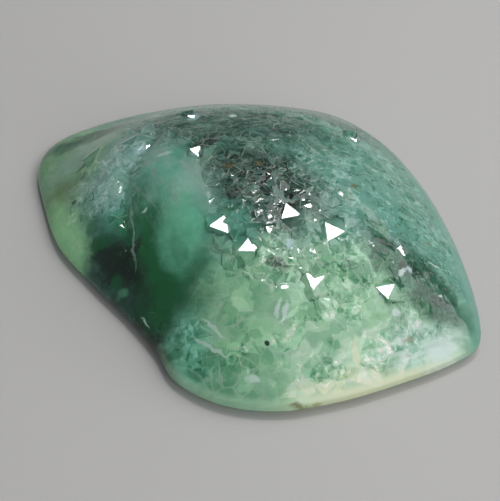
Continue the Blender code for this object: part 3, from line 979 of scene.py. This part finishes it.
# %% Painted glints and reflections, specks and streaks
GLINTS_AND_SPECKS = [
    # Painted light: the sky blue marks are painted sky reflections on bright faces, the white ones painted
    # glints, a painted crescent of light on the big nodule and, last, a painted glow at the sharp tip. The
    # ochre, cream and near-black marks are the stone's own specks and streaks, and a frosted line follows
    # the groove.
    (SKY_REFLECTION_BLUE, 0.75, (-6.8, -0.4, 0.45, 0.28, 60.0)), (SKY_REFLECTION_BLUE, 0.70, (-3.2, -0.2, 0.30, 0.22, 30.0)),
    (SKY_REFLECTION_BLUE, 0.60, (-5.4, 3.3, 0.50, 0.30, 100.0)), (SKY_REFLECTION_BLUE, 0.70, (4.3, -3.5, 0.30, 0.22, 90.0)),
    (GLINT_AND_GLOW_WHITE, 0.95, (5.2, -6.8, 0.12, 0.40, 10.0)), (GLINT_AND_GLOW_WHITE, 0.95, (5.6, -6.7, 0.12, 0.45, 10.0)),
    (SKY_REFLECTION_BLUE, 0.75, (9.6, -2.8, 0.45, 0.30, 60.0)),
    (GLINT_AND_GLOW_WHITE, 0.60, (-8.5, -0.4, 0.40, 0.10, 117.0)), (GLINT_AND_GLOW_WHITE, 0.60, (-4.9, -0.8, 0.45, 0.15, 20.0)),
    (FROSTED, 0.60, (-4.5, -5.2, 1.7, 0.07, -56.0)), (GLINT_AND_GLOW_WHITE, 0.90, (-1.5, -9.1, 0.35, 0.07, -30.0)),
    (GLINT_AND_GLOW_WHITE, 0.80, (2.6, -8.9, 0.80, 0.10, -12.0)), (GLINT_AND_GLOW_WHITE, 0.75, (2.7, -9.7, 1.0, 0.10, -6.0)),
    (CREAM, 0.70, (9.5, -6.4, 0.80, 0.15, 117.0)), (OCHRE, 0.70, (8.3, -9.75, 0.80, 0.12, 30.0)),
    (OCHRE, 0.70, (0.5, 0.3, 0.18, 0.14, 0.0)), (OCHRE, 0.60, (-1.0, -0.6, 0.35, 0.14, 30.0)),
    (OCHRE, 0.70, (5.4, 2.3, 0.18, 0.12, 0.0)), (OCHRE, 0.60, (10.1, 2.0, 0.16, 0.12, 0.0)),
    (OCHRE, 0.50, (11.6, -4.2, 0.18, 0.16, 0.0)), (SOOT, 0.95, (5.4, -8.4, 0.12, 0.10, 0.0)),
    (GLINT_AND_GLOW_WHITE, 0.95, (-4.2, -4.3, 0.16, 0.09, 20.0)), (GLINT_AND_GLOW_WHITE, 0.90, (-8.7, 4.3, 0.40, 0.20, 30.0)),
    (GLINT_AND_GLOW_WHITE, 0.90, (-3.5, 4.6, 0.30, 0.15, 110.0)), (GLINT_AND_GLOW_WHITE, 0.95, (5.5, 5.0, 0.16, 0.08, 10.0)),
    (GLINT_AND_GLOW_WHITE, 0.95, (10.4, -3.6, 0.18, 0.10, 20.0)), (GLINT_AND_GLOW_WHITE, 0.95, (4.5, -9.0, 0.12, 0.08, 0.0)),
    (GLINT_AND_GLOW_WHITE, 0.90, (5.5, -10.0, 0.40, 0.12, 10.0)), (GLINT_AND_GLOW_WHITE, 0.90, (9.9, -1.5, 0.24, 0.12, 70.0)),
    (GLINT_AND_GLOW_WHITE, 0.90, (11.0, 0.7, 0.35, 0.06, 30.0)), (GLINT_AND_GLOW_WHITE, 0.90, (12.1, -1.1, 0.12, 0.08, 0.0)),
    (SKY_REFLECTION_BLUE, 0.80, (10.2, -1.2, 0.22, 0.16, 0.0)), (GLINT_AND_GLOW_WHITE, 0.90, (13.1, -3.5, 0.80, 0.50, 60.0)),
]
for colour, strength, outline in GLINTS_AND_SPECKS:
    shade = (patch(*outline, across=ragged_edge) * strength).blend(shade, colour)
print(len(BLOTS), "blots and", len(GLINTS_AND_SPECKS), "marks")

# %% [markdown]
# The surface is polished, a little rougher here and there and on the chamfers. For its relief each tiny
# grain leans its own way: the slope is the dot product of a random direction, which is the grain's
# colour, with the way from the grain's centre. Crystals show it far more than the polished parts.

# %% Polish and relief
POLISH_ROUGHNESS = 0.05
UNEVEN_ROUGHNESS = 0.10
CHAMFER_ROUGHNESS = 0.12
WAVE_RELIEF = 0.03
POLISHED_LEAN = 0.03
CRYSTAL_LEAN = 0.22
BUMP_STRENGTH = 0.6
roughness = POLISH_ROUGHNESS + UNEVEN_ROUGHNESS * noise_wire(0.6, 2.0) + CHAMFER_ROUGHNESS * chamfer
tiny_grain = start.node("ShaderNodeTexVoronoi", None, {
    "Vector": position, "Scale": 1 / (TINY_GRAIN * MM)}, "Color")
tiny_centre = Wire(tree, tiny_grain.socket.node.outputs["Position"])
lean = subtract(tiny_grain, NOISE_MIDDLE)
tiny_slope = start.node("ShaderNodeVectorMath", {"operation": "DOT_PRODUCT"}, {
    0: lean, 1: subtract(position, tiny_centre)}, "Value")
ripple = noise_wire(0.9, 3.0) * (WAVE_RELIEF * MM) + tiny_slope * (POLISHED_LEAN + CRYSTAL_LEAN * crystal)
normal = start.node("ShaderNodeBump", None, {"Strength": BUMP_STRENGTH, "Distance": 1.0, "Height": ripple})

# %% The shader
QUARTZ_IOR = 1.54
GLASSY_SHARE = 0.5
MILKY_SHARE = 0.5
MILK_REACH = 0.4
DEPTH_COLOUR = (0.25, 0.85, 0.60, 1)
DEPTH_DENSITY = 60.0
surface_shader = start.node("ShaderNodeBsdfPrincipled", None, {
    "Base Color": shade,
    "Roughness": roughness,
    "Normal": normal,
    "IOR": QUARTZ_IOR,
    "Transmission Weight": GLASSY_SHARE,
    "Subsurface Weight": MILKY_SHARE,
    "Subsurface Radius": (0.6, 1.0, 0.75),
    "Subsurface Scale": MILK_REACH * MM,
})
depth = start.node("ShaderNodeVolumeAbsorption", None, {"Color": DEPTH_COLOUR, "Density": DEPTH_DENSITY})
material_output = tree.nodes.new("ShaderNodeOutputMaterial")
tree.links.new(surface_shader.socket, material_output.inputs["Surface"])
tree.links.new(depth.socket, material_output.inputs["Volume"])
gem.data.materials.append(gem_material)

# %% [markdown]
# ## Floor and light
# A plain pale floor and soft lights keep the eye on the stone. The main light is small and hangs high
# above it, a little towards the back, and it is what the bright faces mirror. Two broad softboxes,
# one behind to the right and one at the right, light the slopes.

# %% Floor
FLOOR_GAP = 0.03
FLOOR_SIZE = 1600
FLOOR_COLOUR = (0.42, 0.41, 0.40, 1)
FLOOR_ROUGHNESS = 0.7
bpy.ops.object.select_all(action="DESELECT")
bpy.ops.mesh.primitive_plane_add(size=FLOOR_SIZE * MM, location=(0, 0, -FLOOR_GAP * MM))
floor = bpy.context.object
floor.name = "floor"
floor_material = bpy.data.materials.new("pale_floor")
floor_material.use_nodes = True
floor_shader = floor_material.node_tree.nodes["Principled BSDF"]
floor_shader.inputs["Base Color"].default_value = FLOOR_COLOUR
floor_shader.inputs["Roughness"].default_value = FLOOR_ROUGHNESS
floor.data.materials.append(floor_material)

# %% Lights
LIGHTS = [
    ("key", KEY_DIRECTION, KEY_DISTANCE, 18, 45.0),
    ("side", (0.45, 0.55, 0.8), 260, 260, 2.2),
    ("fill", (0.9, -0.35, 0.55), 260, 200, 2.7),
]
SKY_GLOW_COLOUR = (0.9, 0.95, 1.0, 1)
SKY_GLOW = 0.24


def softbox(name, direction, distance, size, glow):
    """A square light of that size and distance in millimetres, with a radiance of glow."""
    heading = Vector(direction).normalized()
    bpy.ops.object.light_add(type="AREA", location=heading * distance * MM)
    light = bpy.context.object
    light.name = name
    light.rotation_euler = heading.to_track_quat("Z", "Y").to_euler()
    light.data.size = size * MM
    light.data.energy = glow * math.pi * (size * MM) ** 2


for light in LIGHTS:
    softbox(*light)
bpy.ops.world.new()
world = bpy.data.worlds[-1]
bpy.context.scene.world = world
background = world.node_tree.nodes["Background"]
background.inputs["Color"].default_value = SKY_GLOW_COLOUR
background.inputs["Strength"].default_value = SKY_GLOW
bpy.context.scene.view_settings.view_transform = "Standard"
print(len(LIGHTS), "lights")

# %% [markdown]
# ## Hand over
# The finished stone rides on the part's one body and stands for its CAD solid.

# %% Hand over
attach(gem, "root")
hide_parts("druzy_stone")
bpy.context.view_layer.update()
